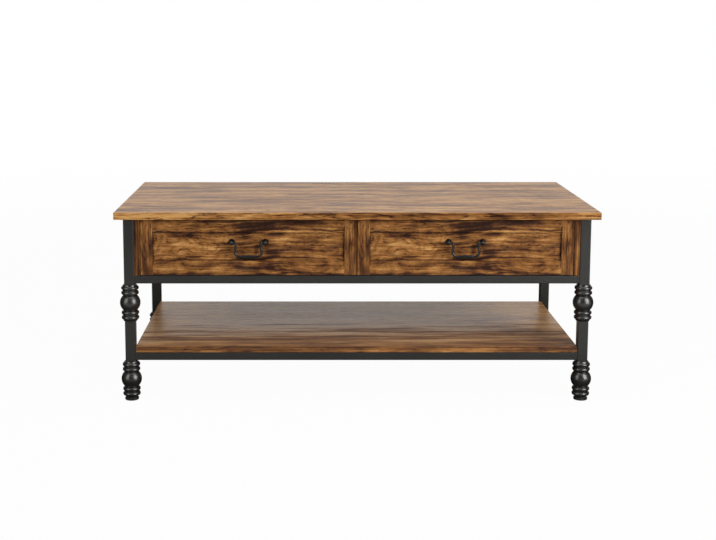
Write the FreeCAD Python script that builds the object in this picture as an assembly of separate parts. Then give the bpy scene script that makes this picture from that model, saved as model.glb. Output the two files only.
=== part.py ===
import FreeCAD, Part
import math
import os
from FreeCAD import Vector

# Coffee table with two drawers side by side, an open lower shelf and four legs of square steel
# tube with turned sections. Millimetres, origin on the floor under the middle of the top,
# +X to the right seen from the front, +Y to the back, +Z up.

# Overall sizes
table_width = 1200.0
table_depth = 600.0
table_height = 480.0
side_overhang = 21.0
front_overhang = 15.0

# Boards
top_thickness = 18.0
shelf_thickness = 15.0
panel_thickness = 15.0
board_easing = 0.8
shelf_side_gap = 0.5
shelf_rear_gap = 21.0
panel_setback = 1.0

# Steel tubes
leg_size = 26.0
leg_wall = 1.5
leg_corner = 2.5
end_plate = 3.0
upper_tube_excess = 63.0
rail_size = 20.0
rail_wall = 1.2
rail_corner = 2.0
rail_rise = 4.0
side_rail_inset = 10.0

# Turned leg sections
ball_radius = 25.5
ball_half_height = 19.0
neck_gap = 1.2
ring_crest_radius = 22.0
ring_root_radius = 18.4
ring_half_height = 5.0
ring_groove = 2.3
collar_height = 3.5
collar_radius = 17.0
foot_waist_radius = 14.0
spigot_radius = 4.0
spigot_length = 9.0
spigot_clearance = 0.2

# Foot glides
glide_height = 8.0
glide_radius = 17.3
glide_edge = 1.6
glide_shoulder = 2.5

# Drawer fronts: a frame of stiles and rails round a recessed panel
front_thickness = 18.0
front_top_gap = 3.0
front_base_gap = 1.5
front_side_gap = 1.2
front_centre_gap = 2.5
stile_width = 30.0
top_rail_height = 30.5
bottom_rail_height = 36.0
front_easing = 0.6
recess_depth = 6.0
front_panel_thickness = 6.0
groove_depth = 8.0
groove_clearance = 0.1
groove_end_gap = 0.8

# Drawer boxes
box_wall = 12.0
box_lift = 10.0
box_top_gap = 24.0
box_rear_gap = 71.0
box_floor_thickness = 5.0
box_floor_height = 6.0
box_groove_depth = 6.0

# Drawer runners: a channel on the case and a smaller channel on the drawer
runner_width = 12.7
runner_height = 35.0
runner_gauge = 1.5
runner_gap = 0.3
runner_web_gap = 0.5
runner_front_inset = 2.0
runner_rear_inset = 8.0
drawer_travel = 320.0
stop_lug_length = 6.0
stop_lug_height = 10.0
stop_lug_reach = 5.0

# Drawer pulls: a drop bail hung between two posts
post_spacing = 84.0
pull_level = 0.648
post_reach = 13.0
post_head_radius = 5.5
post_neck_radius = 3.6
rosette_radius = 8.0
rosette_thickness = 2.2
rosette_edge = 1.0
bail_wire_radius = 3.2
bail_side_clearance = 0.35
bail_drop = 35.0
bail_arm_height = 17.0
bail_arm_bow = 1.4
bail_eye_radius = 3.5
bail_pin_radius = 2.0
bail_pin_clearance = 0.05
bail_pin_depth = 7.5
pin_end_gap = 0.5
grip_radius = 4.5
grip_length = 36.0

# Levels, from the floor up
top_underside = table_height - top_thickness
baluster_half = ball_half_height + neck_gap + 4 * ring_half_height + ring_groove + collar_height
baluster_height = 2 * baluster_half
leg_tubes_height = top_underside - glide_height - 2 * baluster_height
lower_tube_length = (leg_tubes_height - upper_tube_excess) / 2
lower_tube_base = glide_height + baluster_height
upper_baluster_base = lower_tube_base + lower_tube_length
upper_tube_base = upper_baluster_base + baluster_height
lower_rail_base = lower_tube_base + rail_rise
shelf_base = lower_rail_base + rail_size
upper_rail_base = upper_tube_base + rail_rise
case_base = upper_rail_base + rail_size
front_base = case_base + front_base_gap
front_top = top_underside - front_top_gap
box_base = front_base + box_lift
box_top = front_top - box_top_gap
runner_level = (box_base + box_top) / 2

# Places across and along the table
leg_outer_x = table_width / 2 - side_overhang
leg_inner_x = leg_outer_x - leg_size
leg_centre_x = leg_outer_x - leg_size / 2
leg_outer_y = table_depth / 2 - front_overhang
leg_inner_y = leg_outer_y - leg_size
leg_centre_y = leg_outer_y - leg_size / 2
front_rail_back = rail_size - leg_outer_y
rear_rail_back = leg_inner_y + rail_size
case_side_x = leg_inner_x - panel_thickness
case_front_y = panel_setback - leg_outer_y
back_panel_front = rear_rail_back - panel_thickness
divider_side_x = panel_thickness / 2
front_back_y = case_front_y + front_thickness
panel_face_y = case_front_y + recess_depth
front_inner_x = front_centre_gap / 2
front_outer_x = case_side_x - front_side_gap
box_inner_x = divider_side_x + runner_width
box_outer_x = case_side_x - runner_width
box_back_y = back_panel_front - box_rear_gap
runner_length = box_back_y - runner_rear_inset - front_back_y - runner_front_inset
pull_x = (front_inner_x + front_outer_x) / 2
recess_base = front_base + bottom_rail_height
recess_top = front_top - top_rail_height
bail_axis_y = panel_face_y - post_reach
bail_axis_z = recess_base + pull_level * (recess_top - recess_base)

SIDES = {"left": -1, "right": 1}
ENDS = {"front": -1, "rear": 1}
ORIGIN = Vector(0, 0, 0)
X_AXIS = Vector(1, 0, 0)
Y_AXIS = Vector(0, 1, 0)
Z_AXIS = Vector(0, 0, 1)


def block(low, high):
    """Box between two opposite corners."""
    sizes = [b - a for a, b in zip(low, high)]
    return Part.makeBox(*sizes, Vector(*low))


def board(low, high, easing=board_easing):
    """Flat board with every edge eased by a small chamfer."""
    solid = block(low, high)
    return solid.makeChamfer(easing, solid.Edges)


def eased_front(solid, easing=front_easing):
    """The same piece with the edges of its front face chamfered."""
    front_y = solid.BoundBox.YMin
    edges = [edge for edge in solid.Edges if abs(edge.BoundBox.YMax - front_y) < front_easing / 10]
    return solid.makeChamfer(easing, edges)


def mirrored(solid, side):
    """Piece modelled for the right side, mirrored when side is -1."""
    return solid if side > 0 else solid.mirror(ORIGIN, X_AXIS)


def moved(solid, x=0, y=0, z=0):
    """Copy of a piece, shifted."""
    return solid.translated(Vector(x, y, z))


def line(start, end):
    """Straight edge between two points."""
    return Part.makeLine(start, end)


def arc(start, middle, end):
    """Round edge through three points."""
    return Part.Arc(start, middle, end).toShape()


def turned(outline):
    """Solid of revolution about Z from a closed outline in the XZ plane."""
    return Part.Face(Part.Wire(outline)).revolve(ORIGIN, Z_AXIS, 360)


def square_face(size, corner):
    """Square with round corners on the XY plane, centred on the origin."""
    half = size / 2
    flat = half - corner
    side = line(Vector(half, -flat, 0), Vector(half, flat, 0))
    bend = Part.makeCircle(corner, Vector(flat, flat, 0), Z_AXIS, 0, 90)
    edges = [edge.rotated(ORIGIN, Z_AXIS, 90 * quarter) for quarter in range(4) for edge in (side, bend)]
    return Part.Face(Part.Wire(edges))


def square_tube(size, wall, corner, length, plate=0.0):
    """Square tube standing on the XY plane, its ends closed by plates where plate is given."""
    inner_size = size - 2 * wall
    outer = square_face(size, corner).extrude(Vector(0, 0, length))
    bore = square_face(inner_size, corner * inner_size / size).extrude(Vector(0, 0, length - 2 * plate))
    return outer.cut(moved(bore, z=plate))


def spigot_hole(base):
    """Cutter for the hole that takes a turned section's spigot, through one end plate."""
    return Part.makeCylinder(spigot_radius + spigot_clearance, end_plate, Vector(0, 0, base))


def upper_leg_tube():
    """Leg tube from the upper turned section to the underside of the top."""
    length = top_underside - upper_tube_base
    return square_tube(leg_size, leg_wall, leg_corner, length, end_plate).cut(spigot_hole(0))


def lower_leg_tube():
    """Short leg tube between the two turned sections."""
    tube = square_tube(leg_size, leg_wall, leg_corner, lower_tube_length, end_plate)
    return tube.cut(spigot_hole(0)).cut(spigot_hole(lower_tube_length - end_plate))


def baluster(foot):
    """Turned leg section: a ball between two pairs of rings. A spigot stands up into the tube
    above. A foot narrows to a waist and is bored for its glide, the other sections have a lower
    spigot too."""
    neck_radius = math.sqrt(ball_radius**2 - ball_half_height**2)
    inner_ring = ball_half_height + neck_gap + ring_half_height
    outer_ring = inner_ring + 2 * ring_half_height + ring_groove

    def bead(level):
        return arc(
            Vector(ring_root_radius, 0, level - ring_half_height),
            Vector(ring_crest_radius, 0, level),
            Vector(ring_root_radius, 0, level + ring_half_height),
        )

    ball = arc(
        Vector(neck_radius, 0, -ball_half_height),
        Vector(ball_radius, 0, 0),
        Vector(neck_radius, 0, ball_half_height),
    )
    rounds = [bead(-outer_ring), bead(-inner_ring), ball, bead(inner_ring), bead(outer_ring)]
    bottom = Vector(0, 0, -baluster_half)
    top = Vector(0, 0, baluster_half)
    here = Vector(foot_waist_radius if foot else collar_radius, 0, -baluster_half)
    outline = [line(bottom, here)]
    for curve in rounds:
        outline += [line(here, curve.firstVertex().Point), curve]
        here = curve.lastVertex().Point
    collar = Vector(collar_radius, 0, baluster_half)
    outline += [line(here, collar), line(collar, top), line(top, bottom)]
    body = turned(outline).fuse(Part.makeCylinder(spigot_radius, spigot_length, top))
    if foot:
        hole = Part.makeCylinder(spigot_radius + spigot_clearance, 2 * spigot_length, bottom)
        body = body.cut(hole)
    else:
        body = body.fuse(Part.makeCylinder(spigot_radius, spigot_length, bottom, -Z_AXIS))
    return moved(body, z=baluster_half)


def foot_glide():
    """Round foot with a soft floor edge, drawn in to the waist of the leg's lowest turned section,
    and a stem that stands up into it."""
    floor_edge = Vector(glide_radius - glide_edge, 0, 0)
    half_turn = glide_edge * math.sin(math.pi / 4)
    floor_bend = Vector(glide_radius - glide_edge + half_turn, 0, glide_edge - half_turn)
    side_start = Vector(glide_radius, 0, glide_edge)
    shoulder = Vector(glide_radius, 0, glide_height - glide_shoulder)
    waist = Vector(foot_waist_radius, 0, glide_height)
    stem_foot = Vector(spigot_radius, 0, glide_height)
    stem_end = Vector(spigot_radius, 0, glide_height + spigot_length)
    tip = Vector(0, 0, glide_height + spigot_length)
    corners = [side_start, shoulder, waist, stem_foot, stem_end, tip, ORIGIN, floor_edge]
    outline = [line(a, b) for a, b in zip(corners, corners[1:])]
    return turned(outline + [arc(floor_edge, floor_bend, side_start)])


def cross_rail(front_y, base):
    """Square tube along X between two legs, welded to their inner faces."""
    tube = square_tube(rail_size, rail_wall, rail_corner, 2 * leg_inner_x)
    lying = tube.rotated(ORIGIN, Y_AXIS, 90)
    return moved(lying, -leg_inner_x, front_y + rail_size / 2, base + rail_size / 2)


def shelf_side_rail():
    """Square tube along Y under the shelf's right edge, between the lower cross rails."""
    length = leg_inner_y - front_rail_back
    tube = square_tube(rail_size, rail_wall, rail_corner, length)
    lying = tube.rotated(ORIGIN, X_AXIS, -90)
    centre_x = leg_inner_x - shelf_side_gap - side_rail_inset - rail_size / 2
    return moved(lying, centre_x, front_rail_back, lower_rail_base + rail_size / 2)


def tabletop():
    """Top board."""
    half_x = table_width / 2
    half_y = table_depth / 2
    return board((-half_x, -half_y, top_underside), (half_x, half_y, table_height))


def shelf():
    """Lower shelf, flush with the legs in front, carried by the front rail and the side rails and
    ending short of the rear legs."""
    half_x = leg_inner_x - shelf_side_gap
    back_y = leg_inner_y - shelf_rear_gap
    return board((-half_x, -leg_outer_y, shelf_base), (half_x, back_y, shelf_base + shelf_thickness))


def side_panel():
    """Right end board of the drawer case, inside the legs and standing on the upper rails."""
    low = (case_side_x, case_front_y, case_base)
    return board(low, (leg_inner_x, rear_rail_back, top_underside))


def back_panel():
    """Rear board of the drawer case, between the end boards."""
    low = (-case_side_x, back_panel_front, case_base)
    return board(low, (case_side_x, rear_rail_back, top_underside))


def centre_divider():
    """Board between the drawers, hung from the top behind the drawer fronts."""
    low = (-divider_side_x, front_back_y + runner_front_inset, case_base)
    return board(low, (divider_side_x, back_panel_front, top_underside))


def front_stile(low_x, high_x, inner_side):
    """Upright of a drawer front. inner_side is 1 where its groove faces +X, or -1."""
    upright = eased_front(block((low_x, case_front_y, front_base), (high_x, front_back_y, front_top)))
    groove_x = high_x - groove_depth if inner_side > 0 else low_x
    return upright.cut(front_groove((groove_x, front_base), (groove_x + groove_depth, front_top)))


def front_groove(low_xz, high_xz):
    """Cutter for the groove that holds the recessed panel of a drawer front."""
    low_y = panel_face_y - groove_clearance
    high_y = panel_face_y + front_panel_thickness + groove_clearance
    return block((low_xz[0], low_y, low_xz[1]), (high_xz[0], high_y, high_xz[1]))


def front_rail(low_z, high_z, groove_z):
    """Cross piece of the right drawer's front, with a stub tenon at each end."""
    low_x = front_inner_x + stile_width
    high_x = front_outer_x - stile_width
    bar = eased_front(block((low_x, case_front_y, low_z), (high_x, front_back_y, high_z)))
    reach = groove_depth - groove_end_gap
    tenon_low = (low_x - reach, panel_face_y, low_z)
    tenon_high = (high_x + reach, panel_face_y + front_panel_thickness, high_z)
    grooved = bar.fuse(block(tenon_low, tenon_high))
    return grooved.cut(front_groove((low_x - reach, groove_z), (high_x + reach, groove_z + groove_depth)))


def front_panel():
    """Recessed panel of the right drawer's front, let into the grooves round it."""
    reach = groove_depth - groove_end_gap
    low = (front_inner_x + stile_width - reach, panel_face_y, recess_base - reach)
    high = (front_outer_x - stile_width + reach, panel_face_y + front_panel_thickness, recess_top + reach)
    return block(low, high)


def box_groove():
    """Cutter for the groove that holds the right drawer's floor."""
    low_z = box_base + box_floor_height - groove_clearance
    high_z = low_z + box_floor_thickness + 2 * groove_clearance
    low_x = box_inner_x + box_wall - box_groove_depth
    high_x = box_outer_x - box_wall + box_groove_depth
    return block((low_x, front_back_y, low_z), (high_x, box_back_y - box_wall + box_groove_depth, high_z))


def box_side(low_x):
    """Side board of the right drawer's box."""
    low = (low_x, front_back_y, box_base)
    side = block(low, (low_x + box_wall, box_back_y, box_top))
    return side.cut(box_groove())


def box_back():
    """Rear board of the right drawer's box, between its sides."""
    low = (box_inner_x + box_wall, box_back_y - box_wall, box_base)
    back = block(low, (box_outer_x - box_wall, box_back_y, box_top))
    return back.cut(box_groove())


def box_floor():
    """Thin floor of the right drawer, let into its sides and back."""
    reach = box_groove_depth - groove_end_gap
    low_z = box_base + box_floor_height
    low = (box_inner_x + box_wall - reach, front_back_y, low_z)
    high = (box_outer_x - box_wall + reach, box_back_y - box_wall + reach, low_z + box_floor_thickness)
    return block(low, high)


def runner_sections():
    """Case channel and drawer channel of one runner, on a wall at X = 0 with the drawer towards +X.
    Both lie along Y from 0, and each has a tail plate that ends the travel on the other's stop."""
    half = runner_height / 2
    case_reach = runner_width - runner_gauge
    tail = runner_length + runner_gap
    case_end = tail + runner_gauge
    outer = block((0, 0, -half), (case_reach, case_end, half))
    outer = outer.cut(block((runner_gauge, 0, runner_gauge - half), (case_reach, tail, half - runner_gauge)))
    lug_end = runner_length - runner_gauge - drawer_travel - runner_gap
    lug_low = (runner_gauge, lug_end - stop_lug_length, -stop_lug_height / 2)
    lug_high = (runner_gauge + stop_lug_reach, lug_end, stop_lug_height / 2)
    outer = outer.fuse(block(lug_low, lug_high))
    inner_half = half - runner_gauge - runner_gap
    flange = runner_gauge + runner_web_gap
    inner = block((flange, 0, -inner_half), (runner_width, runner_length, inner_half))
    hollow_half = inner_half - runner_gauge
    hollow_end = runner_length - runner_gauge
    inner = inner.cut(block((flange, 0, -hollow_half), (case_reach, hollow_end, hollow_half)))
    return outer, inner


def runner_pairs():
    """The right drawer's two runners: both case channels, then both drawer channels."""
    start_y = front_back_y + runner_front_inset
    pairs = []
    for section in runner_sections():
        at_divider = moved(section, divider_side_x, start_y, runner_level)
        at_case_side = moved(section.mirror(ORIGIN, X_AXIS), case_side_x, start_y, runner_level)
        pairs.append(Part.makeCompound([at_divider, at_case_side]))
    return pairs


def pull_post(side):
    """Post of a pull: a rosette on the panel, a waisted neck and a round head bored for the bail's
    pin on the side that faces the other post. side is -1 or 1 from the pull's middle."""
    rosette_rim = rosette_thickness - rosette_edge
    head_start = post_reach - math.sqrt(post_head_radius**2 - post_neck_radius**2)
    corners = [
        Vector(0, 0, 0),
        Vector(rosette_radius, 0, 0),
        Vector(rosette_radius, 0, rosette_rim),
        Vector(rosette_radius - rosette_edge, 0, rosette_thickness),
        Vector(post_neck_radius, 0, rosette_thickness),
        Vector(post_neck_radius, 0, head_start),
    ]
    head_mid = Vector(post_head_radius, 0, post_reach)
    head_end = Vector(0, 0, post_reach + post_head_radius)
    outline = [line(a, b) for a, b in zip(corners, corners[1:])]
    outline += [arc(corners[-1], head_mid, head_end), line(head_end, corners[0])]
    post = turned(outline).rotated(ORIGIN, X_AXIS, 90)
    post = moved(post, side * post_spacing / 2, panel_face_y, bail_axis_z)
    bore_end = post_spacing / 2 - post_head_radius + bail_pin_depth + pin_end_gap
    bore = Part.makeCylinder(bail_pin_radius + bail_pin_clearance, bore_end, bail_axis(0), X_AXIS * side)
    return post.cut(bore)


def bail_axis(x, drop=0.0):
    """Point at x along the bail's axis, or straight below it."""
    return Vector(x, bail_axis_y, bail_axis_z - drop)


def bail():
    """Drop bail: bowed arms, round corners and a straight bar with a fuller grip, one bent wire
    with an eye and a pin at each end."""
    arm_x = post_spacing / 2 - post_head_radius - bail_side_clearance - bail_eye_radius
    half_arm = bail_arm_height / 2
    arm_radius = (half_arm**2 + bail_arm_bow**2) / (2 * bail_arm_bow)
    lean = math.asin(half_arm / arm_radius)
    bend = (bail_drop - bail_arm_height) / (1 + math.sin(lean))
    bend_x = arm_x - bend * math.cos(lean)
    bend_level = bail_drop - bend
    half_turn = math.pi / 4 - lean / 2

    def side_edges(side):
        arm_end = bail_axis(side * arm_x, bail_arm_height)
        corner = bail_axis(side * (bend_x + bend * math.cos(half_turn)), bend_level + bend * math.sin(half_turn))
        arm = arc(bail_axis(side * arm_x), bail_axis(side * (arm_x - bail_arm_bow), half_arm), arm_end)
        return [arm, arc(arm_end, corner, bail_axis(side * bend_x, bail_drop))]

    bar = line(bail_axis(bend_x, bail_drop), bail_axis(-bend_x, bail_drop))
    path = Part.Wire(Part.__sortEdges__(side_edges(1) + [bar] + side_edges(-1)))
    start = bail_axis(arm_x)
    heading = Vector(-math.sin(lean), 0, -math.cos(lean))
    section = Part.Wire(Part.makeCircle(bail_wire_radius, start, heading))
    wire = path.makePipeShell([section], True, False)
    low_end = Vector(0, 0, -grip_length / 2)
    high_end = -low_end
    low_rim = low_end + X_AXIS * bail_wire_radius
    high_rim = high_end + X_AXIS * bail_wire_radius
    swell = Part.BSplineCurve()
    swell.interpolate([low_rim, X_AXIS * grip_radius, high_rim])
    outline = [line(low_end, low_rim), swell.toShape(), line(high_rim, high_end), line(high_end, low_end)]
    grip = turned(outline).rotated(ORIGIN, Y_AXIS, 90)
    pieces = [grip.translated(bail_axis(0, bail_drop))]
    for side in SIDES.values():
        pin_length = post_spacing / 2 - post_head_radius + bail_pin_depth - arm_x
        pieces.append(Part.makeSphere(bail_eye_radius, bail_axis(side * arm_x)))
        pieces.append(Part.makeCylinder(bail_pin_radius, pin_length, bail_axis(side * arm_x), X_AXIS * side))
    return wire.fuse(pieces).removeSplitter()


def leg_nodes():
    """The five stacked pieces of each of the four legs."""
    stack = {
        "glide": (foot_glide(), 0),
        "foot": (baluster(foot=True), glide_height),
        "lower_tube": (lower_leg_tube(), lower_tube_base),
        "baluster": (baluster(foot=False), upper_baluster_base),
        "upper_tube": (upper_leg_tube(), upper_tube_base),
    }
    nodes = {}
    for end, along in ENDS.items():
        for side, across in SIDES.items():
            for piece, (solid, base) in stack.items():
                placed = moved(solid, across * leg_centre_x, along * leg_centre_y, base)
                nodes[f"leg_{end}_{side}_{piece}"] = placed
    return nodes


def frame_nodes():
    """Cross rails and the rails under the shelf's ends."""
    nodes = {
        "upper_front_rail": cross_rail(-leg_outer_y, upper_rail_base),
        "upper_rear_rail": cross_rail(leg_inner_y, upper_rail_base),
        "lower_front_rail": cross_rail(-leg_outer_y, lower_rail_base),
        "lower_rear_rail": cross_rail(leg_inner_y, lower_rail_base),
    }
    for side, across in SIDES.items():
        nodes[f"shelf_side_rail_{side}"] = mirrored(shelf_side_rail(), across)
    return nodes


def case_nodes():
    """Boards of the table: top, shelf and the drawer case."""
    nodes = {
        "tabletop": tabletop(),
        "shelf": shelf(),
        "back_panel": back_panel(),
        "centre_divider": centre_divider(),
    }
    for side, across in SIDES.items():
        nodes[f"side_panel_{side}"] = mirrored(side_panel(), across)
    return nodes


def drawer_nodes():
    """Both drawers with their runners and pulls, modelled for the right side."""
    case_channels, drawer_channels = runner_pairs()
    posts = Part.makeCompound([moved(pull_post(side), pull_x) for side in SIDES.values()])
    pieces = {
        "front_inner_stile": front_stile(front_inner_x, front_inner_x + stile_width, 1),
        "front_outer_stile": front_stile(front_outer_x - stile_width, front_outer_x, -1),
        "front_top_rail": front_rail(recess_top, front_top, recess_top),
        "front_bottom_rail": front_rail(front_base, recess_base, recess_base - groove_depth),
        "front_panel": front_panel(),
        "box_inner_side": box_side(box_inner_x),
        "box_outer_side": box_side(box_outer_x - box_wall),
        "box_back": box_back(),
        "box_floor": box_floor(),
        "case_channels": case_channels,
        "drawer_channels": drawer_channels,
        "pull_posts": posts,
        "pull_bail": moved(bail(), pull_x),
    }
    nodes = {}
    for side, across in SIDES.items():
        for piece, solid in pieces.items():
            nodes[f"drawer_{side}_{piece}"] = mirrored(solid, across)
    return nodes


os.makedirs("parts", exist_ok=True)
for name, solid in {**case_nodes(), **frame_nodes(), **leg_nodes(), **drawer_nodes()}.items():
    solid.exportStep(f"parts/{name}.step")
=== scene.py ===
import bmesh
import bpy
import math
from mathutils import Matrix, Vector


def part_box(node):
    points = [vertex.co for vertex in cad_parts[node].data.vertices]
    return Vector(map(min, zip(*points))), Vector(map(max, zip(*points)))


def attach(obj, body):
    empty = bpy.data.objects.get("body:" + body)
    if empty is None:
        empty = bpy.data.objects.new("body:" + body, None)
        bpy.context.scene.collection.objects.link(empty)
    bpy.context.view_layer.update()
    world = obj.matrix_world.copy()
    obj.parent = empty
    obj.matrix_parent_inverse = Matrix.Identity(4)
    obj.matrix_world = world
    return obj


# Coffee table with two drawers over an open shelf, on turned legs of black steel. Metres, the origin
# on the floor under the middle of the top, +X to the right seen from the front, +Y to the back.
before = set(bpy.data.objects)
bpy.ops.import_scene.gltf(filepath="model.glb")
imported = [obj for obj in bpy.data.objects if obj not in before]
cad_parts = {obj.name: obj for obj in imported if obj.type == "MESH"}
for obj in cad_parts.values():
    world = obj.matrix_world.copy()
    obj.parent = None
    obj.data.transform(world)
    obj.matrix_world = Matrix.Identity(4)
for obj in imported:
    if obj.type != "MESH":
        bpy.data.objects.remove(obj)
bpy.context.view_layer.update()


# Foot glides
# Each leg stands on a round glide of black polypropylene, drawn in to a waist above a soft floor edge
# and moulded in one shot with a fine spark finish. Its stem is pressed up into the leg's turned foot.
class Shade:
    """A socket of a node tree. Arithmetic on it adds Math nodes, and add() any other node."""

    def __init__(self, tree, socket=None):
        self.tree = tree
        self.socket = socket

    def add(self, kind, settings=(), sockets=(), output=0):
        """One output of a new node, made with these settings and values or links of its sockets."""
        node = self.tree.nodes.new("ShaderNode" + kind)
        for name, value in dict(settings).items():
            if name == "stops":
                for place, _ in value[2:]:
                    node.color_ramp.elements.new(place)
                for element, (place, colour) in zip(node.color_ramp.elements, value):
                    element.position = place
                    element.color = (*colour, 1)
            else:
                setattr(node, name, value)
        for name, value in dict(sockets).items():
            if isinstance(value, Shade):
                self.tree.links.new(value.socket, node.inputs[name])
            else:
                node.inputs[name].default_value = value
        return Shade(self.tree, node.outputs[output] if node.outputs else None)

    def math(self, operation, *values):
        return self.add("Math", {"operation": operation}, enumerate(values))

    def __add__(self, other):
        return self.math("ADD", self, other)

    def __sub__(self, other):
        return self.math("SUBTRACT", self, other)

    def __rsub__(self, other):
        return self.math("SUBTRACT", other, self)

    def __mul__(self, other):
        return self.math("MULTIPLY", self, other)

    def __truediv__(self, other):
        return self.math("DIVIDE", self, other)

    def __rtruediv__(self, other):
        return self.math("DIVIDE", other, self)

    def __pow__(self, other):
        return self.math("POWER", self, other)

    def __rpow__(self, other):
        return self.math("POWER", other, self)

    def __abs__(self):
        return self.math("ABSOLUTE", self)

    __radd__ = __add__
    __rmul__ = __mul__


def finish(name, paint):
    """Material whose shader is what paint makes of an empty tree."""
    made = bpy.data.materials.new(name)
    made.use_nodes = True
    made.node_tree.nodes.clear()
    start = Shade(made.node_tree)
    start.add("OutputMaterial", sockets={"Surface": paint(start)})
    return made


def dress(made, *nodes):
    """The CAD nodes of these names get that material."""
    for node in nodes:
        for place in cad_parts[node].material_slots:
            place.material = made


def ease(value, low, high):
    """Value drawn out so that low becomes 0 and high 1, smoothly."""
    sockets = {"Value": value, "From Min": low, "From Max": high}
    return value.add("MapRange", {"interpolation_type": "SMOOTHSTEP"}, sockets)


def tint(mask, reflected_shade_zone, over):
    """Colour that goes from under to over as the mask goes from 0 to 1."""
    reflected_shade_zone, over = [(*colour, 1) if isinstance(colour, tuple) else colour for colour in (reflected_shade_zone, over)]
    # Of a Mix node's sockets, 6 and 7 are its two colours, and output 2 is the mixed colour.
    return mask.add("Mix", {"data_type": "RGBA"}, {0: mask, 6: reflected_shade_zone, 7: over}, output=2)


def mottle(start, size, detail=2.0):
    """Even noise over the piece, its patches about that size."""
    place = start.add("TexCoord", output="Object")
    return start.add("TexNoise", sockets={"Vector": place, "Scale": 1 / size, "Detail": detail})


def relief(height, depth):
    """Normal of a surface that rises by depth where height is 1."""
    return height.add("Bump", sockets={"Height": height, "Distance": depth, "Strength": 1.0})


def moulded_plastic(start):
    black = (0.012, 0.012, 0.012)
    scuffed = (0.026, 0.025, 0.024)
    spark = mottle(start, size=0.0006)
    wear = ease(mottle(start, size=0.012, detail=4.0), low=0.45, high=0.75)
    sockets = {
        "Base Color": tint(wear, black, scuffed),
        "Roughness": 0.52 + 0.16 * spark,
        "Normal": relief(spark, depth=0.00006),
        "Specular IOR Level": 0.4,
    }
    return start.add("BsdfPrincipled", sockets=sockets)


sides = ("left", "right")
corners = [f"{end}_{side}" for end in ("front", "rear") for side in sides]
dress(finish("moulded_plastic", moulded_plastic), *[f"leg_{corner}_glide" for corner in corners])


# Steel frame
# Square tubes and turned balusters of mild steel, welded, ground and coated with charcoal black powder
# that bakes to a satin skin with a fine orange peel and holds a little dust.
def powder_coat(gloss):
    """Painter of the powder coat, which comes out glossier on the turned pieces than on drawn tube."""
    charcoal = (0.0082, 0.0081, 0.0075)
    thin_charcoal = (0.0116, 0.0115, 0.0107)
    dust_grey = (0.035, 0.034, 0.032)
    warm_sheen = (1.0, 0.978, 0.93, 1)

    def paint(start):
        peel = mottle(start, size=0.0016, detail=1.0)
        cloud = mottle(start, size=0.09, detail=3.0)
        dust = ease(mottle(start, size=0.004, detail=4.0), low=0.55, high=0.8)
        coat = tint(ease(cloud, low=0.3, high=0.7), charcoal, thin_charcoal)
        sockets = {
            "Base Color": tint(0.06 * dust, coat, dust_grey),
            "Roughness": 0.28 + 0.06 * cloud + 0.04 * dust,
            "Normal": relief(peel, depth=0.000006),
            "Specular IOR Level": gloss,
            "Specular Tint": warm_sheen,
        }
        return start.add("BsdfPrincipled", sockets=sockets)

    return paint


rails = [f"{level}_{end}_rail" for level in ("upper", "lower") for end in ("front", "rear")]
rails += [f"shelf_side_rail_{side}" for side in sides]
tubes = [f"leg_{corner}_{piece}" for corner in corners for piece in ("lower_tube", "upper_tube")]
turned = [f"leg_{corner}_{piece}" for corner in corners for piece in ("foot", "baluster")]
frame_coat = finish("powder_coat", powder_coat(gloss=0.71))
dress(frame_coat, *tubes, *rails)
dress(finish("turned_powder_coat", powder_coat(gloss=1.0)), *turned)


# Shelf
# Particle board faced with a rustic brown wood print under a satin melamine skin, its edges banded
# with the same print. It lies on the front and side rails and is flush with the front legs.
espresso = (0.024, 0.0085, 0.0042)
walnut = (0.08, 0.029, 0.011)
russet = (0.185, 0.075, 0.0205)
amber = (0.33, 0.142, 0.04)
honey = (0.53, 0.285, 0.096)
smoke = (0.06, 0.032, 0.021)


def streaks(grain, length, width, detail=1.0):
    """Noise drawn out along the grain, its patches about that long and wide."""
    along, across, depth = grain
    place = along.add("CombineXYZ", sockets={0: along / length, 1: across / width, 2: depth / width})
    sockets = {"Vector": place, "Scale": 1.0, "Detail": detail, "Roughness": 0.6}
    return place.add("TexNoise", sockets=sockets)


def grain_axes(start, axes, shift):
    """Object coordinates in the order along, across and through the board, from a shifted origin, and 1
    on its two faces. An edge square to the grain is banded, its print running on along the next axis."""
    spot = start.add("TexCoord", output="Object")
    spot = start.add("VectorMath", {"operation": "SUBTRACT"}, {0: spot, 1: shift})
    facing = start.add("TexCoord", output="Normal")
    split = [spot.add("SeparateXYZ", sockets={0: spot}, output=axis) for axis in axes]
    turn = [abs(spot.add("SeparateXYZ", sockets={0: facing}, output=axis)) for axis in axes]
    band = start.math("GREATER_THAN", turn[0], 0.9)
    grain = [here + band * (turned - here) for here, turned in zip(split, split[1:] + split[:1])]
    return grain, ease(turn[2], low=0.5, high=0.9)


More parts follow.
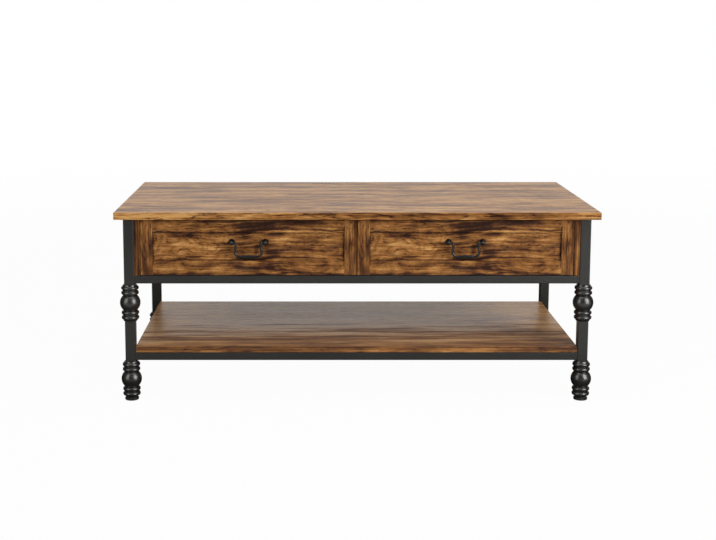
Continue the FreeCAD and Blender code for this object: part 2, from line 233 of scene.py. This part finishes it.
def wood_print(
    axes, shift, tone=0.0, edge=0.0, contrast=1.0, stretch=1.0, gloss=0.115, stains_and_shading=(), checks=()
):
    """Painter of the wood print, with its grain along the first of the axes and its origin at the shift.
    Tone lightens it, and edge does so on the board's edges alone. Stretch lengthens the figure, and gloss
    is the skin's specular level. Each stain or patch of painted shade is a dark or, below 0, a pale
    patch: its place along and across, half its length and width, and its strength."""
    print_tone = 0.56
    figure_mean = 0.595
    ring_count = 14
    ring_sharpness = 4
    knot_pull = 0.25
    stops = [(0.1, espresso), (0.3, walnut), (0.52, russet), (0.76, amber), (1.0, honey)]

    def paint(start):
        (along, across, depth), face = grain_axes(start, axes, shift)
        straight = (along / stretch, across, depth)
        slow = streaks(straight, length=0.9, width=0.2) - 0.5
        sway = streaks(straight, length=0.2, width=0.045, detail=2.0) - 0.5
        ripple = streaks(straight, length=0.06, width=0.016) - 0.5
        wavy = across + 0.03 * slow + 0.009 * sway + 0.003 * ripple
        grain = (straight[0], wavy, depth)

        def layer(length, width, detail=1.0):
            """Streaks of about that length and width, spread out over 0 to 1."""
            return ease(streaks(grain, length, width, detail), low=0.3, high=0.7)

        def reach(place_along, place_across, half_length, half_width):
            """Square of the distance from a patch's middle, 1 on its outline."""
            return ((along - place_along) / half_length) ** 2 + ((wavy - place_across) / half_width) ** 2

        # The figure, from broad zones down to fine lines and short dark flecks
        zones = layer(length=0.45, width=0.05, detail=2.0)
        blotches = layer(length=0.1, width=0.022, detail=2.0)
        bands = layer(length=0.4, width=0.012)
        veins = layer(length=0.3, width=0.005)
        fine = layer(length=0.2, width=0.0018)
        flecks = ease(streaks(grain, length=0.035, width=0.004, detail=2.0), low=0.57, high=0.72)
        layers = 0.34 * zones + 0.24 * blotches + 0.22 * bands + 0.23 * veins + 0.25 * fine
        figure = layers - 0.34 * flecks - figure_mean
        value = contrast * figure + print_tone + tone + edge * (1 - face)

        # Stains and painted shade in ragged patches, duller where dark, with the growth rings round them
        pores = ease(streaks(grain, length=0.03, width=0.0007, detail=2.0), low=0.54, high=0.68)
        rough = 0.27 + 0.08 * pores + 0.05 * bands
        ragged = 0.9 * (bands - 0.5) + 0.7 * (zones - 0.5)
        growth = streaks(grain, length=0.5, width=0.07)
        for *outline, strength in stains_and_shading:
            patch_darkening = strength * ease(reach(*outline) + ragged, low=1.3, high=0.0)
            value = value - patch_darkening
            rough = rough + patch_darkening
            growth = growth + abs(strength) * knot_pull * ease(reach(*outline), low=3.0, high=0.0)
        rings = (0.5 + 0.5 * start.math("SINE", 2 * math.pi * ring_count * growth)) ** ring_sharpness
        figured = ease(streaks(grain, length=0.3, width=0.06, detail=2.0), low=0.46, high=0.6)
        value = value - 0.2 * contrast * rings * figured

        # The colour of that tone, greyed in smoky drifts and darkest in the pores and cracks
        colour = start.add("ValToRGB", {"stops": stops}, {0: value})
        smoky = ease(streaks(grain, length=0.3, width=0.04, detail=4.0), low=0.54, high=0.7)
        colour = tint(0.4 * contrast * smoky, colour, smoke)
        line = abs(streaks(grain, length=0.12, width=0.009, detail=3.0) - 0.5)
        cracked = ease(streaks(grain, length=0.2, width=0.03, detail=2.0), low=0.52, high=0.62)
        for outline in checks:
            cracked = start.math("MAXIMUM", cracked, ease(reach(*outline) + ragged, low=1.5, high=0.5))
        cracks = 0.8 * ease(line, low=0.022, high=0.0) * cracked
        colour = tint(contrast * start.math("MAXIMUM", 0.5 * pores, cracks), colour, espresso)
        sockets = {
            "Base Color": colour,
            "Roughness": rough,
            "Normal": relief(fine - pores, depth=0.00006),
            "Specular IOR Level": gloss,
        }
        return start.add("BsdfPrincipled", sockets=sockets)

    return paint


shelf_shift = (0.6, 0.2, 0.3)
# Darker and rougher towards the front edge: the darkening is painted shade from the table above, the
# roughness is wear that dulls the sheen.
front_painted_shade_and_wear = (0.0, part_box("shelf")[0].y - shelf_shift[1], 2.0, 0.22, 0.25)
# Its face is lightened well above the other boards, painted light for a shelf that gets little light under
# the drawer case; edge brings its banded edges back down.
shelf_print = wood_print(
    "XYZ", shelf_shift, tone=0.38, edge=-0.17, contrast=0.85, stretch=0.85, gloss=0.22, stains_and_shading=[front_painted_shade_and_wear]
)
dress(finish("shelf_print", shelf_print), "shelf")


# Drawer case
# End boards, back board and centre divider of the same printed board. The end boards and the back board
# stand on the upper rails, and two zinc plated screws hold the back board to the divider.
left_end_print = wood_print("YZX", shift=(0, 0.3, 0.1), tone=-0.17)
right_end_print = wood_print("YZX", shift=(0, 0.1, 0.1), tone=-0.21)
case_back_print = wood_print("XZY", shift=(0.4, 0, 0.2))
divider_print = wood_print("YZX", shift=(0.2, 0.1, 0.3), tone=-0.06)
dress(finish("left_end_print", left_end_print), "side_panel_left")
dress(finish("right_end_print", right_end_print), "side_panel_right")
dress(finish("case_back_print", case_back_print), "back_panel")
dress(finish("divider_print", divider_print), "centre_divider")


def zinc_plate(start):
    dull_zinc = (0.44, 0.45, 0.46)
    bright_zinc = (0.62, 0.62, 0.61)
    spangle = mottle(start, size=0.006)
    scuff = ease(mottle(start, size=0.0015, detail=3.0), low=0.5, high=0.8)
    sockets = {
        "Base Color": tint(spangle, dull_zinc, bright_zinc),
        "Metallic": 1.0,
        "Roughness": 0.28 + 0.15 * spangle + 0.1 * scuff,
        "Normal": relief(scuff, depth=0.00003),
    }
    return start.add("BsdfPrincipled", sockets=sockets)


def parts_of(kind, geometry):
    """The vertices or faces in what an operator returns."""
    return [part for part in geometry if isinstance(part, kind)]


def set_up(name, mesh, made):
    """Object of that name and material in the scene, from a finished bmesh, smooth but for its corners."""
    piece = bpy.data.objects.new(name, bpy.data.meshes.new(name))
    mesh.to_mesh(piece.data)
    mesh.free()
    piece.data.shade_smooth()
    piece.data.set_sharp_from_angle(angle=math.radians(35))
    piece.data.materials.append(made)
    bpy.context.scene.collection.objects.link(piece)
    return piece


def screw_heads(name, body, seats, radius, height):
    """Pan head screws with a cross recess, each given by its seat and the way its head faces."""
    rim_width = 0.7 * height
    crown_margin = 0.1 * radius
    half_slot = 0.12 * radius
    slot_depth = 0.6 * height
    slot_taper = (0.7, 0.7, 1)
    mesh = bmesh.new()
    bmesh.ops.create_circle(mesh, cap_ends=True, segments=24, radius=radius)
    lifted = bmesh.ops.extrude_face_region(mesh, geom=mesh.faces[:])["geom"]
    bmesh.ops.translate(mesh, vec=(0, 0, height), verts=parts_of(bmesh.types.BMVert, lifted))
    crown = parts_of(bmesh.types.BMFace, lifted)[0]
    rim = {"affect": "EDGES", "segments": 4, "profile": 0.5, "material": -1}
    bmesh.ops.bevel(mesh, geom=crown.edges[:], offset=rim_width, **rim)
    crown = max(mesh.faces, key=lambda face: face.calc_center_median().z)
    bmesh.ops.inset_region(mesh, faces=[crown], thickness=crown_margin)
    recess = [crown, *crown.edges, *crown.verts]
    for across in (Vector((1, 0, 0)), Vector((0, 1, 0))):
        for offset in (-half_slot, half_slot):
            cut = bmesh.ops.bisect_plane(mesh, geom=recess, plane_co=offset * across, plane_no=across)
            recess = cut["geom"]
    arms = parts_of(bmesh.types.BMFace, recess)
    arms = [face for face in arms if min(map(abs, face.calc_center_median().xy)) < half_slot]
    sunk = parts_of(bmesh.types.BMVert, bmesh.ops.extrude_face_region(mesh, geom=arms)["geom"])
    bmesh.ops.delete(mesh, geom=arms, context="FACES")
    bmesh.ops.translate(mesh, vec=(0, 0, -slot_depth), verts=sunk)
    bmesh.ops.scale(mesh, vec=slot_taper, verts=sunk)
    bmesh.ops.recalc_face_normals(mesh, faces=mesh.faces)
    pattern = [*mesh.verts, *mesh.edges, *mesh.faces]
    for seat, facing in seats:
        copied = parts_of(bmesh.types.BMVert, bmesh.ops.duplicate(mesh, geom=pattern)["geom"])
        turn = Vector((0, 0, 1)).rotation_difference(Vector(facing)).to_matrix().to_4x4()
        bmesh.ops.transform(mesh, matrix=Matrix.Translation(seat) @ turn, verts=copied)
    bmesh.ops.delete(mesh, geom=parts_of(bmesh.types.BMVert, pattern), context="VERTS")
    screws = set_up(name, mesh, zinc)
    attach(screws, body)


zinc = finish("zinc_plate", zinc_plate)
case_screw = {"radius": 0.004, "height": 0.0022}
screw_margin = 0.035
to_back = (0, 1, 0)
back_low, back_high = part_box("back_panel")
levels = (back_low.z + screw_margin, back_high.z - screw_margin)
back_seats = [((0, back_high.y, level), to_back) for level in levels]
screw_heads("back_screws", "table", back_seats, **case_screw)


# Divider lug
# A bent lug of strip steel, welded to the back of the upper front rail and coated with the frame. One
# pan head screw goes up through it into the divider's lower edge.
lug_width = 0.018
lug_arm = 0.016
lug_gauge = 0.002
lug_bend = 0.0025
lug_corner = 0.3 * lug_width
rail_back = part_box("upper_front_rail")[1].y
divider_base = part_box("centre_divider")[0].z
lug_line = [
    (-lug_width / 2, rail_back, divider_base - lug_arm),
    (-lug_width / 2, rail_back, divider_base),
    (-lug_width / 2, rail_back + lug_arm, divider_base),
]
lug_mesh = bmesh.new()
points = [lug_mesh.verts.new(point) for point in lug_line]
for start, end in zip(points, points[1:]):
    lug_mesh.edges.new((start, end))
swept = bmesh.ops.extrude_edge_only(lug_mesh, edges=lug_mesh.edges[:])["geom"]
bmesh.ops.translate(lug_mesh, vec=(lug_width, 0, 0), verts=parts_of(bmesh.types.BMVert, swept))
rounded = {"segments": 5, "profile": 0.5, "material": -1}
tips = [vert for vert in lug_mesh.verts if len(vert.link_faces) == 1]
bmesh.ops.bevel(lug_mesh, geom=tips, offset=lug_corner, affect="VERTICES", **rounded)
bend = [edge for edge in lug_mesh.edges if len(edge.link_faces) == 2]
bmesh.ops.bevel(lug_mesh, geom=bend, offset=lug_bend, affect="EDGES", **rounded)
bmesh.ops.recalc_face_normals(lug_mesh, faces=lug_mesh.faces)
bmesh.ops.solidify(lug_mesh, geom=lug_mesh.faces[:], thickness=lug_gauge)
bmesh.ops.recalc_face_normals(lug_mesh, faces=lug_mesh.faces)
lug = set_up("divider_lug", lug_mesh, frame_coat)
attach(lug, "table")
lug_seat = (0, rail_back + 0.6 * lug_arm, divider_base - lug_gauge)
screw_heads("lug_screw", "table", [(lug_seat, (0, 0, -1))], **case_screw)


# Drawer runners
# Channels rolled from zinc plated strip, one screwed to the case and one to each drawer's side, the
# drawer's with flat pan heads down its hollow.
channel_gauge = 0.0015
channel_screw = {"radius": 0.0038, "height": 0.0014}
first_screw = 0.03
screw_pitch = 0.13
screw_count = 4
dress(zinc, *[f"drawer_{side}_{kind}_channels" for side in sides for kind in ("case", "drawer")])
for side in sides:
    low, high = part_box(f"drawer_{side}_drawer_channels")
    walls = [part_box(f"drawer_{side}_box_{wall}_side") for wall in ("inner", "outer")]
    left_web = min(wall_low.x for wall_low, wall_high in walls) - channel_gauge
    right_web = max(wall_high.x for wall_low, wall_high in walls) + channel_gauge
    seats = []
    for web, facing in ((left_web, (-1, 0, 0)), (right_web, (1, 0, 0))):
        for step in range(screw_count):
            place = low.y + first_screw + screw_pitch * step
            seats.append(((web, place, (low.z + high.z) / 2), facing))
    screw_heads(f"runner_screws_{side}", f"drawer_{side}", seats, **channel_screw)


# Drawer boxes
# Sides and back of thinner board in a quieter brown print, round a floor of printed hardboard that
# slides into their grooves.
quiet = 0.6
box_side_print = wood_print("YZX", shift=(0.5, 0, 0.7), tone=-0.04, contrast=quiet)
box_back_print = wood_print("XZY", shift=(0.1, 0.5, 0.4), tone=-0.04, contrast=quiet)
box_floor_print = wood_print("XYZ", shift=(0.3, 0.2, 0.6), tone=-0.02, contrast=quiet)
box_sides = [f"drawer_{side}_box_{wall}_side" for side in sides for wall in ("inner", "outer")]
dress(finish("box_side_print", box_side_print), *box_sides)
dress(finish("box_back_print", box_back_print), *[f"drawer_{side}_box_back" for side in sides])
dress(finish("box_floor_print", box_floor_print), *[f"drawer_{side}_box_floor" for side in sides])


# Drawer fronts
# Five pieces each: two stiles with upright grain, two rails and a recessed panel with level grain. The
# two fronts are cut from the same repeat of the print, so they show the same figure.

# Marks of the print and a band of painted shadow, each with its place from the pull's middle, its level,
# half its length and width, and its strength, which is below 0 where the print is paler. The cracks have no
# strength.
knots = [
    (-0.003, 0.443, 0.026, 0.015, 0.25),
    (-0.007, 0.418, 0.015, 0.010, 0.26),
    (-0.145, 0.420, 0.010, 0.006, 0.34),
    (-0.087, 0.412, 0.011, 0.004, 0.2),
    (-0.132, 0.364, 0.018, 0.004, 0.32),
    (0.066, 0.373, 0.026, 0.012, 0.24),
]
dark_patches_and_shadow = [
    (0.018, 0.338, 0.075, 0.022, 0.25),
    (0.150, 0.385, 0.100, 0.030, 0.1),
    (0.025, 0.385, 0.085, 0.085, 0.1),
    (0.072, 0.406, 0.040, 0.028, 0.24),
    (0.135, 0.446, 0.085, 0.016, 0.18),
    # This thin band along the top of the panel is painted shadow of the top rail.
    (0.140, 0.427, 0.075, 0.003, 0.25),
    (0.155, 0.405, 0.055, 0.014, 0.1),
    (-0.150, 0.410, 0.045, 0.014, 0.1),
    (-0.222, 0.447, 0.030, 0.012, 0.15),
]
pale_patches = [
    (-0.086, 0.389, 0.011, 0.011, -0.16),
    (-0.095, 0.447, 0.036, 0.009, -0.12),
    (-0.130, 0.388, 0.110, 0.030, -0.12),
    (-0.225, 0.375, 0.035, 0.050, -0.12),
]
cracks = [
    (-0.200, 0.412, 0.035, 0.012),
    (0.140, 0.415, 0.100, 0.012),
    (-0.060, 0.395, 0.050, 0.008),
]
for side in sides:
    front = f"drawer_{side}_front_"
    pull_low, pull_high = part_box(f"drawer_{side}_pull_bail")
    middle = (pull_low.x + pull_high.x) / 2
    bottom_low, bottom_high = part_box(front + "bottom_rail")
    top_low, top_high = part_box(front + "top_rail")
    # Darker bands along each front's top edge, painted shadow under the tabletop's overhang, and along its
    # bottom edge, a burnished edge that is partly painted shade of the gap below.
    painted_edge_shade = [(0.0, bottom_low.z, 0.5, 0.006, 0.2), (0.0, top_high.z, 0.5, 0.008, 0.19)]
    # Thin dark lines round the panel's recess where its rails and stiles meet it, partly dark joints and
    # partly painted shade of the recess.
    joint_and_recess_shade_level = [(0.0, bottom_high.z, 0.5, 0.003, 0.3), (0.0, top_low.z, 0.5, 0.003, 0.32)]
    stile_ends = [corner.x for stile in ("inner", "outer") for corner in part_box(f"{front}{stile}_stile")]
    recess_middle = (bottom_high.z + top_low.z) / 2
    joint_and_recess_shade_upright = [(end - middle, recess_middle, 0.003, 0.06, 0.35) for end in sorted(stile_ends)[1:3]]
    stains_and_shading = knots + dark_patches_and_shadow + pale_patches + painted_edge_shade + joint_and_recess_shade_level + joint_and_recess_shade_upright
    level = wood_print("XZY", (middle, 0, 0), tone=-0.01, stretch=0.3, stains_and_shading=stains_and_shading, checks=cracks)
    upright_shift = (middle - 0.05, 0.8, 0.3)
    upright = wood_print("ZXY", upright_shift, tone=-0.035, stretch=0.42)
    dress(finish(f"front_print_{side}", level), front + "top_rail", front + "bottom_rail", front + "panel")
    dress(finish(f"stile_print_{side}", upright), front + "inner_stile", front + "outer_stile")


# Drawer pulls
# A drop bail and its two posts of zinc alloy, cast, tumbled and lacquered black with a low gloss. Each
# post is held by a pan head screw from inside the drawer.
def black_lacquer(start):
    black = (0.003, 0.003, 0.003)
    rubbed = (0.008, 0.0075, 0.007)
    flow = mottle(start, size=0.003)
    rub = ease(mottle(start, size=0.009, detail=4.0), low=0.55, high=0.8)
    sockets = {
        "Base Color": tint(rub, black, rubbed),
        "Roughness": 0.15 + 0.08 * flow + 0.06 * rub,
        "Normal": relief(flow, depth=0.00002),
        "Specular IOR Level": 0.4,
        "Coat Weight": 0.35,
        "Coat Roughness": 0.06,
    }
    return start.add("BsdfPrincipled", sockets=sockets)


pulls = [f"drawer_{side}_pull_{piece}" for side in sides for piece in ("posts", "bail")]
dress(finish("black_lacquer", black_lacquer), *pulls)
for side in sides:
    low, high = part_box(f"drawer_{side}_pull_posts")
    post_radius = (high.z - low.z) / 2
    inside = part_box(f"drawer_{side}_front_panel")[1].y
    post_places = (low.x + post_radius, high.x - post_radius)
    seats = [((place, inside, low.z + post_radius), to_back) for place in post_places]
    screw_heads(f"pull_screws_{side}", f"drawer_{side}", seats, **case_screw)


# Tabletop
# The thickest board, of the same printed particle board, banded on all four edges. It lies on the legs
# and on the drawer case, and stands out past them on all sides.
top_print = wood_print(
    "XYZ", shift=(0.15, 0.4, 0.2), tone=0.186, edge=-0.06, contrast=1.3, stretch=0.8, gloss=0.065
)
dress(finish("top_print", top_print), "tabletop")


# Floor and light
# A white studio floor that runs on to a white background, two tall soft boxes in front, the right one
# stronger, and a wide one overhead. The camera sees plain white round the table, and polished surfaces
# see it straight behind the table, with a dim room on every other side.
def ray_is(start, kind):
    """1 for the rays of one kind, else 0."""
    return start.add("LightPath", output=f"Is {kind} Ray")


def studio_floor(start):
    pale_grey = (0.5, 0.5, 0.49)
    paler_grey = (0.54, 0.54, 0.53)
    reflected_shade_grey = (0.035, 0.035, 0.035, 1)
    speckle = mottle(start, size=0.02, detail=3.0)
    paint = start.add("BsdfDiffuse", sockets={"Color": tint(speckle, pale_grey, paler_grey)})
    # Painted shade: glossy rays see the floor dark grey from just in front of the table backwards.
    shade = start.add("BsdfDiffuse", sockets={"Color": reflected_shade_grey})
    white = start.add("Emission", sockets={"Color": (1, 1, 1, 1), "Strength": 1.0})
    spot = start.add("TexCoord", output="Object")
    away = start.add("VectorMath", {"operation": "LENGTH"}, {0: spot}, output="Value")
    reflected_shade_zone = ease(start.add("SeparateXYZ", sockets={0: spot}, output="Y"), low=-0.9, high=-0.3)
    paint = start.add("MixShader", sockets={0: reflected_shade_zone * ray_is(start, "Glossy"), 1: paint, 2: shade})
    cover = 0.97 + 0.03 * ease(away, low=1.5, high=6.0)
    return start.add("MixShader", sockets={0: cover * ray_is(start, "Camera"), 1: paint, 2: white})


floor_mesh = bmesh.new()
bmesh.ops.create_grid(floor_mesh, x_segments=1, y_segments=1, size=30.0)
floor = set_up("studio_floor", floor_mesh, finish("studio_floor", studio_floor))


def soft_box(name, place, aim, width, height, watts):
    """Rectangular soft box that faces a point."""
    lamp = bpy.data.lights.new(name, "AREA")
    lamp.shape = "RECTANGLE"
    lamp.size = width
    lamp.size_y = height
    lamp.energy = watts
    holder = bpy.data.objects.new(name, lamp)
    heading = Vector(aim) - Vector(place)
    holder.matrix_world = Matrix.Translation(place) @ heading.to_track_quat("-Z", "Y").to_matrix().to_4x4()
    bpy.context.scene.collection.objects.link(holder)


soft_box("right_box", place=(2.4, -2.4, 1.5), aim=(0.2, 0, 0.3), width=1.8, height=2.8, watts=114)
soft_box("left_box", place=(-2.5, -2.3, 1.5), aim=(-0.2, 0, 0.3), width=1.5, height=2.8, watts=41)
soft_box("overhead_box", place=(0, -0.6, 2.7), aim=(0, 0, 0.4), width=2.4, height=1.6, watts=30)

room_light = 0.2
room_dimming = 0.15
world = bpy.data.worlds.new("studio")
world.use_nodes = True
world.node_tree.nodes.clear()
sky = Shade(world.node_tree)
glossy = ray_is(sky, "Glossy")
room_strength = room_light - room_dimming * glossy
room = sky.add("Background", sockets={"Color": (1, 1, 1, 1), "Strength": room_strength})
white = sky.add("Background", sockets={"Color": (1, 1, 1, 1), "Strength": 1.0})
heading = sky.add("TexCoord", output="Generated")
rearward, upward = [sky.add("SeparateXYZ", sockets={0: heading}, output=axis) for axis in "YZ"]
behind = ease(rearward, low=0.2 + 0.5 * glossy, high=0.6 + 0.3 * glossy)
behind = behind * ease(upward, low=0.6, high=0.25)
shown = sky.math("MAXIMUM", ray_is(sky, "Camera"), behind)
sky.add("OutputWorld", sockets={"Surface": sky.add("MixShader", sockets={0: shown, 1: room, 2: white})})
bpy.context.scene.world = world


# Camera
# The photograph's view, from chest height and a little left of the middle, tilted slightly down. The
# lens is shifted so that the table stands where it does in the photograph's frame.
eye = (-0.1088, -3.4499, 0.9549)
tilt_from_down = math.radians(81.99)
view = bpy.data.cameras.new("view")
view.sensor_width = 36.0
view.lens = 65.25
view.shift_x = 0.0627
view.shift_y = -0.0978
camera = bpy.data.objects.new("view", view)
camera.matrix_world = Matrix.Translation(eye) @ Matrix.Rotation(tilt_from_down, 4, "X")
bpy.context.scene.collection.objects.link(camera)
bpy.context.scene.camera = camera
bpy.context.scene.view_settings.view_transform = "Standard"
